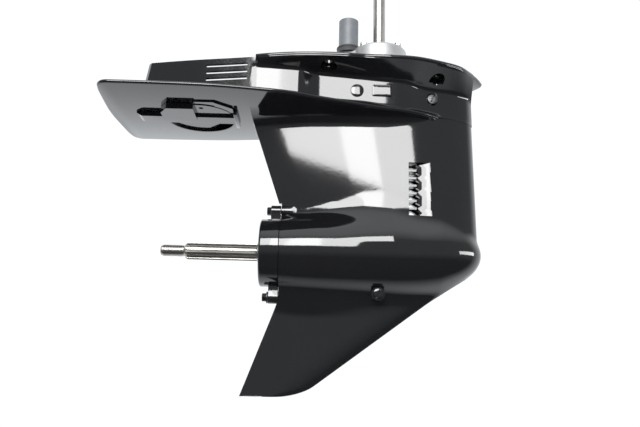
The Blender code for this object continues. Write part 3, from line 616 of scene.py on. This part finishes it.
def slabBm(line, lowZ, highZ, edge):
    # a plate of the given outline with a rounded rim; its flat faces run straight across
    tangent = np.gradient(line, axis=0)
    normal = np.column_stack([-tangent[:, 1], tangent[:, 0]])
    normal /= np.maximum(np.linalg.norm(normal, axis=1), 1e-9)[:, None]
    rings = []
    for angle in np.linspace(-90, 90, 9):
        inset = edge * (1 - math.cos(math.radians(angle)))
        x = line[:, 0] - normal[:, 0] * inset
        y = np.maximum(line[:, 1] - normal[:, 1] * inset, 0.4)
        low, high = lowZ(x), highZ(x)
        z = (low + high) / 2 + math.sin(math.radians(angle)) * (high - low) / 2
        rings.append(ringFrom(x, y, z))
    return loftRings(rings)


def prismBm(outline, low, high, axis="Z"):
    # a flat outline pushed along one axis
    bm = bmesh.new()
    order = {"Z": lambda a, b, h: (a, b, h), "Y": lambda a, b, h: (a, h, b),
             "X": lambda a, b, h: (h, a, b)}[axis]
    rows = [[bm.verts.new(at(*order(a, b, h))) for a, b in outline] for h in (low, high)]
    bm.faces.new(rows[0])
    bm.faces.new(rows[1])
    bridge(bm, rows[0], rows[1])
    bmesh.ops.triangulate(bm, faces=[face for face in bm.faces if len(face.verts) > 4])
    bmesh.ops.recalc_face_normals(bm, faces=bm.faces)
    return bm


def rodBm(radius, low, high, place=(0, 0, 0), axis="Z", steps=64, edge=0.0):
    profile = [(0, high), (radius - edge, high), (radius, high - edge), (radius, low + edge),
               (radius - edge, low), (0, low)]
    if not edge:
        profile = [(0, high), (radius, high), (radius, low), (0, low)]
    return lathe(profile, place, axis, steps)


def insetSide(side, inset, first, last):
    # a whole outline set in by a wall and cut off at two stations
    xs = np.concatenate([[first], [x for x, _ in side if first < x < last], [last]])
    halves = np.interp(xs, [x for x, _ in side], [half for _, half in side]) - inset
    near = [(x, -half) for x, half in zip(xs, halves)]
    return near + [(x, -y) for x, y in reversed(near)]


ventPlace, drainPlace, tubeX, tabX = (68.3, 206.0), (-1.7, -52.5), -43.0, -242.0
boltPlaces = [(-71.0, 67.0), (72.0, 46.0)]
intake = {"front": 67.0, "aft": 36.0, "low": 47.0, "high": 118.0, "slots": 7, "rib": 0.28}


def caseBores():
    main = [(0, 36), (40, 36), (40, -110), (42.2, -110), (42.2, -140), (0, -140)]
    drive = [(0, 300), (22.4, 300), (22.4, 199.7), (12, 199.7), (12, 76.5), (15.3, 76.5), (15.3, 51.3),
             (23.6, 51.3), (23.6, 20), (0, 20)]
    tools = [lathe(main, axis="X", steps=96), lathe(drive), rodBm(30.4, 30, 57, axis="X"),
             rodBm(12, 50, 90, axis="X"), rodBm(6, 0, 300, (75, 0, 0), steps=32),
             rodBm(9.4, 0, 15.5, (75, 0, 0), steps=32), rodBm(10, 231.7, 300, (75, 0, 0), steps=32)]
    lobe = [(0, -20), (0, 20)] + arc(tubeX, 0, 19, 90, 270, 17)
    tools += [prismBm(lobe, 232, 260), rodBm(41.5, 232, 261, steps=96)]
    for angle in (45, 135, 225, 315):
        place = (33 * math.cos(math.radians(angle)), 33 * math.sin(math.radians(angle)), 0)
        tools.append(rodBm(3.3, 214, 240, place, steps=20))
    duct = [(-44, -13), (-44, 13), (-80, 12), (-110, 5), (-110, -5), (-80, -12)]
    wall = [(x, half) for x, half in wallSide if half > 6]
    tools += [prismBm(insetSide(wall, 6.0, -158, -110), 199, 262),
              prismBm(insetSide(wall, 4.5, -299, -170), 197, 263),
              prismBm([(-111, -50), (-111, 50), (-76, 44), (-76, -44)], 199, 262), prismBm(duct, 28, 210)]
    return tools


def intakeCuts():
    tools = [boxBm((29, -21, 50), (58, 21, 115)), boxBm((29, -9, 100), (44, 9, 240))]
    pitch = (intake["high"] - intake["low"]) / intake["slots"]
    for side in (-1, 1):
        ramp = [(intake["front"], 34.5 * side), (46.5, 26 * side), (46.5, 45 * side),
                (intake["front"], 45 * side)]
        tools.append(prismBm(ramp, intake["low"], intake["high"]))
        near, face, far = 18 * side, 30.5 * side, 45 * side
        tools.append(boxBm((intake["aft"], min(face, far), intake["low"]),
                           (47, max(face, far), intake["high"])))
        for i in range(intake["slots"]):
            low = intake["low"] + pitch * (i + intake["rib"] / 2)
            high = low + pitch * (1 - intake["rib"])
            tools.append(boxBm((intake["aft"], min(near, far), low), (46.7, max(near, far), high)))
            spike = [(46, low), (52.5, (low + high) / 2), (46, high)]
            tools.append(prismBm(spike, min(near, far), max(near, far), "Y"))
    return tools


def smallCuts():
    tools = []
    for x, y in boltPlaces:
        for side in (-y, y):
            tools += [rodBm(5.2, 200, 270, (x, side, 0), steps=40),
                      rodBm(10.5, 225, case["lipUnder"] + 0.6, (x, side, 0))]
    for z in (217.0, 226.5, 236.0):
        tools.append(boxBm((-230, -80, z - 1.8), (-176, 80, z + 1.8)))
    for side in (-1, 1):
        tools.append(rodBm(4.3, 242, 260, (-153, 66 * side, 0), steps=32))
    for z in (55.7, -58):
        tools.append(rodBm(3.3, -140, -108, (0, 0, z), "X", 24))
    for (x, z), spot, hole, face, depth in ((ventPlace, 8.6, 5.3, -31.5, -9), (drainPlace, 0, 4.6, 0, 3)):
        tools.append(rodBm(hole, -60, depth, (x, 0, z), "Y", 32))
        if spot:
            tools.append(rodBm(spot, -60, face, (x, 0, z), "Y", 48))
    tools.append(rodBm(5.3, 180, 220, (tabX, 0, 0), steps=32))
    return tools


def roundedBlank(place, half, seat, face, corner):
    # a blank cast pad on the wall above the plate
    x, z = place
    outline = []
    for cx, cz, start in ((1, 1, 0), (-1, 1, 90), (-1, -1, 180), (1, -1, 270)):
        outline += arc(x + cx * (half[0] - corner), z + cz * (half[1] - corner), corner, start, start + 90, 7)
    rings = []
    for inset, y in ((0, seat), (0, face + 0.7), (0.25, face + 0.2), (0.8, face)):
        across, up = 1 - inset / half[0], 1 - inset / half[1]
        rings.append([(x + (a - x) * across, y, z + (b - z) * up) for a, b in outline])
    return skinRings(rings)


def runBooleans(target, joins, cuts):
    # the whole stack is worked out at once
    for operation, tools in (("UNION", joins), ("DIFFERENCE", cuts)):
        for tool in tools:
            modifier = target.modifiers.new(operation.lower(), "BOOLEAN")
            modifier.operation = operation
            modifier.solver = "MANIFOLD"
            modifier.object = asObject(tool)
    tools = [modifier.object for modifier in target.modifiers]
    dependencies = bpy.context.evaluated_depsgraph_get()
    target.data = bpy.data.meshes.new_from_object(target.evaluated_get(dependencies))
    target.modifiers.clear()
    for tool in tools:
        bpy.data.objects.remove(tool)
    return target


def buildCase():
    target = asObject(lowerCase(), "gearcase")
    plate = slabBm(plateLine, lambda x: case["plateZ"] - case["plateHalf"] - droop(x),
                   lambda x: case["plateZ"] + case["plateHalf"] - droop(x), 2.5)
    lip = slabBm(lipLine, lambda x: np.full_like(x, case["lipUnder"]),
                 lambda x: np.full_like(x, case["faceZ"]), 1.6)
    joins = [upperCase(), plate, lip, rodBm(8, -127.7, -104, (0, 0, 55.7), "X", 48),
             rodBm(8.5, -22.5, 8, (drainPlace[0], 0, drainPlace[1]), "Y"),
             rodBm(9, -31.5, -10, (ventPlace[0], 0, ventPlace[1]), "Y"),
             roundedBlank((-33, 208), (8.5, 8.5), -45, -54.0, 8.3),
             roundedBlank((-0.4, 209), (13, 8), -40, -53.0, 2.5)]
    runBooleans(target, joins, caseBores() + intakeCuts() + smallCuts())
    finishPiece(target, "root", ["gearcase_housing"], blackPaint, 35)
    return target


buildCase()
print("casting drawn")


# ---- bearing carrier, the ring that closes the torpedo
def buildCarrier():
    rim = [(36, -111), (41.8, -111), (41.8, -120), (40.2, -120), (40.2, -124), (41.8, -124), (41.8, -127.9),
           (43.6, -128.1), (44.4, -128.9), (44.4, -151.0), (44.0, -152.2), (42.9, -153.3), (42.0, -153.7),
           (37.6, -153.7), (36.6, -153.2), (36, -152.2)]
    core = [(31.8, -40), (39.6, -40), (39.6, -66), (22, -66), (22, -151.4), (21.4, -152), (17.6, -152),
            (17, -151.4), (17, -58.5), (31.8, -58.5)]
    target = asObject(lathe(rim, axis="X", steps=128), "carrierRing")
    joins = [lathe(core, axis="X", steps=96)]
    for angle in (45, 135, 225, 315):
        spoke = boxBm((-150, -3, 20), (-64, 3, 38.5), 1.2)
        turn = Matrix.Rotation(math.radians(angle), 3, "X")
        bmesh.ops.rotate(spoke, cent=at(0, 0, 0), matrix=turn, verts=spoke.verts)
        joins.append(spoke)
    cuts = []
    for z in (55.7, -58):
        low, high = sorted((z, math.copysign(40, z)))
        joins += [rodBm(8, -141.6, -128.1, (0, 0, z), "X", 64, 0.8),
                  boxBm((-141.2, -7.6, low), (-128.3, 7.6, high), 0.8)]
        cuts.append(rodBm(3.4, -160, -120, (0, 0, z), "X", 24))
    runBooleans(target, joins, cuts)
    finishPiece(target, "root", ["bearing_carrier"], blackPaint, 35)


def hexBolt(name, node, place, axis, flats, low, high, shank, shankLow, shankHigh, material, sign=1):
    # a hexagon head with turned-off corners; the washer face is at 'low' when sign is 1
    corner = flats / math.sqrt(3)
    outline = [(corner * math.cos(a), corner * math.sin(a)) for a in np.radians(np.arange(0, 360, 60))]
    if axis == "Z":
        outline = [(place[0] + a, place[1] + b) for a, b in outline]
        head = prismBm(outline, low, high)
    else:
        outline = [(place[1] + a, place[2] + b) for a, b in outline]
        head = prismBm(outline, low, high, "X")
    target = asObject(head, name)
    top, bottom = (high, low) if sign > 0 else (low, high)
    step = -sign
    cone = [(0, top), (flats / 2 * 0.93, top), (corner * 1.02, top + step * 1.1),
            (corner * 1.02, bottom + step * 0.01), (0, bottom + step * 0.01)]
    if sign < 0:
        cone = cone[::-1]
    rounding = asObject(lathe(cone, place, axis, 48), "rounding")
    modifier = target.modifiers.new("corners", "BOOLEAN")
    modifier.operation = "INTERSECT"
    modifier.solver = "MANIFOLD"
    modifier.object = rounding
    target.data = bpy.data.meshes.new_from_object(target.evaluated_get(bpy.context.evaluated_depsgraph_get()))
    target.modifiers.clear()
    bpy.data.objects.remove(rounding)
    runBooleans(target, [rodBm(shank, shankLow, shankHigh, place, axis, 32)], [])
    finishPiece(target, "root", [node], material, 30)


buildCarrier()
hexBolt("carrierBoltUpper", "carrier_bolt_upper", (0, 0, 55.7), "X", 10,
        -146.8, -141.9, 3, -142.2, -112, darkBolt, -1)
hexBolt("carrierBoltLower", "carrier_bolt_lower", (0, 0, -58), "X", 10,
        -149, -143.6, 3, -144, -112, darkBolt, -1)
washer = [(3.4, -141.9), (7.3, -141.9), (7.5, -142.1), (7.5, -143.1), (7.3, -143.3), (3.4, -143.3)]
addPiece("carrierWasher", lathe(washer, (0, 0, -58), "X", 48), "root", ["carrier_washer_lower"], darkBolt)
print("carrier and its bolts made")


# ---- propeller shaft with its spline and thread
propShaft = {"splineTeeth": 15, "root": 9.0, "tip": 11.0, "threadR": 7.75, "threadDepth": 0.75, "pitch": 1.5}


def buildPropShaft(s):
    core = s["threadR"] - s["threadDepth"]
    profile = [(0, 60), (10, 60), (11, 59), (11, -60), (12.5, -61), (12.5, -156.4), (12.0, -157.4),
               (9.4, -158.6), (s["root"], -160), (s["root"], -249.6), (s["threadR"] - 0.3, -251.5), (core, -252.6),
               (core, -280.3), (6.4, -281.2), (6.2, -282.1), (6.0, -282.3), (0, -282.3)]
    tooth = [(0.03, 0), (0.10, 0.85), (0.13, 1), (0.27, 1), (0.41, 1), (0.44, 0.85), (0.51, 0), (0.77, 0)]
    target = asObject(lathe(profile, axis="X", steps=96), "propShaft")
    rings = []
    for station, tip in ((-250.2, s["root"] + 0.1), (-248.6, s["tip"] - 0.9), (-247.4, s["tip"]),
                         (-158.8, s["tip"]), (-157.2, s["tip"])):
        ring = []
        for number in range(s["splineTeeth"]):
            for share, lift in tooth:
                angle = 2 * math.pi * (number + share) / s["splineTeeth"]
                radius = s["root"] - 0.3 + (tip - s["root"] + 0.3) * lift
                ring.append((station, radius * math.cos(angle), radius * math.sin(angle)))
        rings.append(ring)
    slot = boxBm((-6.3, -3.3, -30), (6.3, 3.3, 30), 1.0)
    runBooleans(target, [skinRings(rings), threadBm(s)], [rodBm(5.6, -9, 90, axis="X"), slot])
    finishPiece(target, "propeller_shaft", ["prop_shaft"], shaftSteel, 30)


def threadBm(s):
    # one helical ridge whose ends fade into the core
    perTurn = 32
    start, end = -253.0, -279.6
    count = int((start - end) / s["pitch"] * perTurn)
    core = s["threadR"] - s["threadDepth"]
    rings = []
    for i in range(count + 1):
        angle = 2 * math.pi * i / perTurn
        x = start - s["pitch"] * i / perTurn
        fade = min(1.0, i / perTurn, (count - i) / perTurn)
        crest = core + s["threadDepth"] * max(fade, 0.04)
        section = ((0.62, core - 0.35), (0.10, crest), (-0.10, crest), (-0.62, core - 0.35))
        rings.append([(x + dx, radius * math.cos(angle), radius * math.sin(angle)) for dx, radius in section])
    return skinRings(rings)


buildPropShaft(propShaft)


# ---- driveshaft, with the upper spline that enters the crankshaft
def buildDriveshaft():
    profile = [(0, 626), (6.0, 626), (6.6, 625.4), (6.6, 586), (8.5, 584), (8.5, 52), (8, 51), (8, 27),
               (6, 26), (6, 20.8), (0, 20.8)]
    target = asObject(lathe(profile, steps=96), "driveshaft")
    teeth, root = 12, 6.3
    rings = []
    for z, tip in ((586.5, 6.7), (588, 7.9), (623.6, 7.9), (625.2, 6.8)):
        ring = []
        for tooth in range(teeth):
            for share, lift in ((0.03, 0), (0.12, 1), (0.26, 1), (0.40, 1), (0.49, 0), (0.75, 0)):
                angle = 2 * math.pi * (tooth + share) / teeth
                radius = root + (tip - root) * lift
                ring.append((radius * math.cos(angle), radius * math.sin(angle), z))
        rings.append(ring)
    runBooleans(target, [skinRings(rings)], [])
    finishPiece(target, "drive_train", ["driveshaft"], shaftSteel, 30)


buildDriveshaft()
print("shafts made")


# ---- water pump: domed housing with its outlet, grommet and tube
pump = {"bodyR": 38.0, "lobeR": 13.5, "foot": 239.0, "boltR": 33.0}


def pumpOutline():
    lobe, body = pump["lobeR"], pump["bodyR"]
    start = 180 - math.degrees(math.asin(lobe / body))
    return arc(0, 0, body, -start, start, 61) + arc(tubeX, 0, lobe, 90, 270, 25)


def buildPump():
    target = asObject(prismBm(pumpOutline(), pump["foot"], 242.5), "pumpHousing")
    dome = [(0, 287), (34.6, 287), (36.4, 286.3), (37.5, 285), (38, 283), (38, 240), (0, 240)]
    joins = [lathe(dome, steps=96)]
    # the outlet neck swoops down aft from the dome to the tube's socket
    rings = []
    for x, half, top in ((-20, 22, 286.6), (-26, 21.5, 286.2), (-31, 20, 285.2), (-35, 18, 283.9),
                         (-39, 16.0, 283.1), (-43, 15.2, 283), (-48, 14.3, 283), (-52, 11.6, 282.8),
                         (-54.5, 8.6, 282.4), (-56.2, 4.4, 281.6)):
        ring = [(x, -half, 240.0), (x, -half, top - 4)]
        for angle in (30, 60):
            ring.append((x, -half + 4 * (1 - math.cos(math.radians(angle))) * min(1, half / 8),
                         top - 4 + 4 * math.sin(math.radians(angle))))
        ring.append((x, -max(half - 4, 0.4), top))
        rings.append(ring + [(x, -y, z) for x, y, z in reversed(ring)])
    joins.append(loftRings(rings))
    for px, py in pumpBolts():
        joins.append(rodBm(4.8, 240, 286.9, (px, py, 0), steps=40, edge=0.4))
    cuts = [rodBm(28.3, 230, 265.5, steps=96), rodBm(10, 230, 300), rodBm(9, 242, 300, (tubeX, 0, 0)),
            boxBm((-43, -7, 244), (-20, 7, 258)), rodBm(17.2, 283, 300, (tubeX, 0, 0))]
    cuts += [rodBm(3.3, 230, 300, (px, py, 0), steps=24) for px, py in pumpBolts()]
    runBooleans(target, joins, cuts)
    finishPiece(target, "root", ["pump_housing"], castAlloy, 35)


def pumpBolts():
    corners = np.radians((45, 135, 225, 315))
    return [(pump["boltR"] * math.cos(a), pump["boltR"] * math.sin(a)) for a in corners]


buildPump()
for number, (px, py) in enumerate(pumpBolts(), 1):
    hexBolt(f"pumpBolt{number}", f"pump_bolt_{number}", (px, py, 0), "Z", 8,
            287.3, 291.3, 2.9, 218, 287.8, shaftSteel)
grommet = [(13.9, 293), (15.6, 293), (16.3, 292.5), (16.5, 291.6), (16.2, 290.4), (15.6, 289.6),
           (15.6, 288.8),
           (16.5, 287.6), (16.5, 283.9), (16.1, 283.4), (13.9, 283.4)]
addPiece("tubeGrommet", lathe(grommet, (tubeX, 0, 0), steps=64), "root", ["water_tube_grommet"], blackRubber)
tube = [(10.5, 333.6), (10.9, 334), (13.2, 334), (13.6, 333.6), (13.6, 283.4), (10.5, 283.4)]
addPiece("waterTube", lathe(tube, (tubeX, 0, 0), steps=64), "root", ["water_tube"], greyTube)
print("water pump made")


# ---- slotted plugs and dowels
def buildPlug(name, place, headR, shankR, seat, material, node):
    profile = [(0, seat + 14), (shankR, seat + 14), (shankR, seat), (headR, seat), (headR, seat - 2.0),
               (headR - 0.35, seat - 2.7), (headR - 1.1, seat - 3), (0, seat - 3)]
    target = asObject(lathe(profile, (place[0], 0, place[1]), "Y", 64), name)
    slot = boxBm((place[0] - 1.2, seat - 5, place[1] - 20), (place[0] + 1.2, seat + 0.4, place[1] + 20))
    turn = Matrix.Rotation(math.radians(25), 3, "Y")
    bmesh.ops.rotate(slot, cent=at(place[0], seat, place[1]), matrix=turn, verts=slot.verts)
    runBooleans(target, [], [slot])
    finishPiece(target, "root", [node], material, 30)


buildPlug("ventPlug", ventPlace, 7, 5, -32.9, darkBolt, "oil_vent_plug")
buildPlug("drainPlug", drainPlace, 6.5, 4.3, -23.9, blackPaint, "oil_drain_plug")
for name, node, side in (("dowelStarboard", "dowel_pin_starboard", -66), ("dowelPort", "dowel_pin_port", 66)):
    pin = [(0, 249), (3.0, 249), (3.7, 248.4), (4, 247.6), (4, 243), (3.4, 242.3), (0, 242.3)]
    addPiece(name, lathe(pin, (-153, side, 0), steps=40), "root", [node], shaftSteel)


# ---- trim tab: a disc with a straight fin across it, half a ring on one side and a stepped pad on the other
tab = {"top": 187.2, "ringR": 48.0, "wall": 4.0, "ringLow": 181.2, "discLow": 184.2, "finHalf": 11.0,
       "finLow": 181.0}


def buildTab(s):
    top, outer, inner = s["top"], s["ringR"], s["ringR"] - s["wall"]
    target = asObject(rodBm(inner + 2, s["discLow"], top, (tabX, 0, 0), steps=128), "trimTab")
    joins = []
    for grow, low in ((0.0, s["ringLow"] + 0.8), (0.8, s["ringLow"])):
        ring = arc(tabX, 0, outer - grow, 4, 176, 60) + arc(tabX, 0, inner + grow, 176, 4, 60)
        joins.append(prismBm(ring, low, top))
    finLow, finHalf = s["finLow"], s["finHalf"]
    fin = [(-328, top - 0.4), (-327, top - 2.4), (-321.5, finLow + 0.6), (-319.5, finLow), (-195, finLow),
           (-192, finLow + 1.6), (-192, top - 0.4)]
    joins += [prismBm(fin, -finHalf, finHalf, "Y"), boxBm((-196, -26, 180), (-191, 26, top - 0.2), 1.2),
              prismBm([(-291, -6), (-291, -30), (-281, -46), (-246, -46), (-246, -6)], 178.6, top - 0.3),
              prismBm([(-250, -6), (-250, -50), (-246, -54), (-218, -54), (-218, -6)], 185.3, top - 0.1),
              prismBm([(-218.5, -6), (-218.5, -54), (-196, -34), (-196, -6)], 184.8, top - 0.2)]
    cuts = [rodBm(3, 150, 186.4, (-237, -36, 0), steps=32), rodBm(5.3, 183.2, 210, (tabX, 0, 0), steps=32)]
    runBooleans(target, joins, cuts)
    finishPiece(target, "tab", ["trim_tab"], blackPaint, 35)


buildTab(tab)
hexBolt("trimTabBolt", "trim_tab_bolt", (tabX, 0, 0), "Z", 15, 197.6, 203, 5, 183.6, 198, shaftSteel)
print("trim tab made")


# ---- floor and soft lights
def stagePiece(name, corners, colour):
    mesh = bpy.data.meshes.new(name)
    mesh.from_pydata(corners, [], [(0, 1, 2, 3)])
    piece = bpy.data.objects.new(name, mesh)
    bpy.context.scene.collection.objects.link(piece)
    material, _, links, shader = newMaterial(name)
    tree = material.node_tree
    clouds = ramp(tree, noiseNode(tree, 1.5, 2.0), 0.3, 0.7)
    links.new(mixColour(tree, clouds, colour, tuple(c * 0.985 for c in colour)), shader.inputs["Base Color"])
    shader.inputs["Roughness"].default_value = 0.9
    shader.inputs["Specular IOR Level"].default_value = 0.1
    mesh.materials.append(material)
    return piece


def areaLight(name, place, aim, width, height, watts):
    data = bpy.data.lights.new(name, "AREA")
    data.shape = "RECTANGLE"
    data.size, data.size_y = width, height
    data.energy = watts
    light = bpy.data.objects.new(name, data)
    bpy.context.scene.collection.objects.link(light)
    light.location = place
    light.rotation_euler = (Vector(aim) - Vector(place)).to_track_quat("-Z", "Y").to_euler()


studio = {"floorZ": -1.6, "white": 1.09, "farSide": 1.7, "level": 0.5, "low": 0.12, "ceiling": 1.8}
floor = stagePiece("floor", [(-6, -6, studio["floorZ"]), (6, -6, studio["floorZ"]), (6, 6, studio["floorZ"]),
                             (-6, 6, studio["floorZ"])], (0.86, 0.88, 0.90))
floor.visible_glossy = False
# three panels side by side, lower on the right: their reflection is the bright patch on the strut
for name, x, width, low, watts in (("panelLeft", -0.63, 0.46, 0.20, 21),
                                   ("panelMiddle", -0.255, 0.29, 0.185, 17.5),
                                   ("panelRight", 0.115, 0.45, 0.16, 20)):
    areaLight(name, (x, -1.5, (low + 1) / 2), (x, 0, (low + 1) / 2), width, 1 - low, watts)
areaLight("windowRight", (2.5, -0.8, 0.05), (0.17, -0.03, -0.24), 1.6, 0.42, 30)


def makeWorld(s):
    # a white sweep to look at, and round the object a room that is dim behind the camera and bright elsewhere
    world = bpy.data.worlds.new("studio")
    world.use_nodes = True
    tree = world.node_tree
    axis = tree.nodes.new("ShaderNodeSeparateXYZ")
    tree.links.new(tree.nodes.new("ShaderNodeTexCoord").outputs["Generated"], axis.inputs["Vector"])
    lower = ramp(tree, axis.outputs["Z"], -0.3, 0.0, s["low"], s["level"])
    upper = ramp(tree, axis.outputs["Z"], 0.55, 0.8, 0.0, s["ceiling"] - s["level"])
    near = mathNode(tree, "ADD", lower, upper)
    side = ramp(tree, axis.outputs["Y"], -0.1, 0.3, 0.0, 1.0)
    room = mathNode(tree, "ADD", mathNode(tree, "MULTIPLY", near, mathNode(tree, "SUBTRACT", 1.0, side)),
                    mathNode(tree, "MULTIPLY", side, s["farSide"]))
    seen = tree.nodes.new("ShaderNodeLightPath").outputs["Is Camera Ray"]
    strength = mathNode(tree, "ADD", mathNode(tree, "MULTIPLY", seen, s["white"]),
                        mathNode(tree, "MULTIPLY", mathNode(tree, "SUBTRACT", 1.0, seen), room))
    tree.links.new(strength, tree.nodes["Background"].inputs["Strength"])
    tree.nodes["Background"].inputs["Color"].default_value = (0.94, 0.97, 1.0, 1)
    bpy.context.scene.world = world


makeWorld(studio)
bpy.context.scene.view_settings.view_transform = "Standard"
print("stage and lights ready")
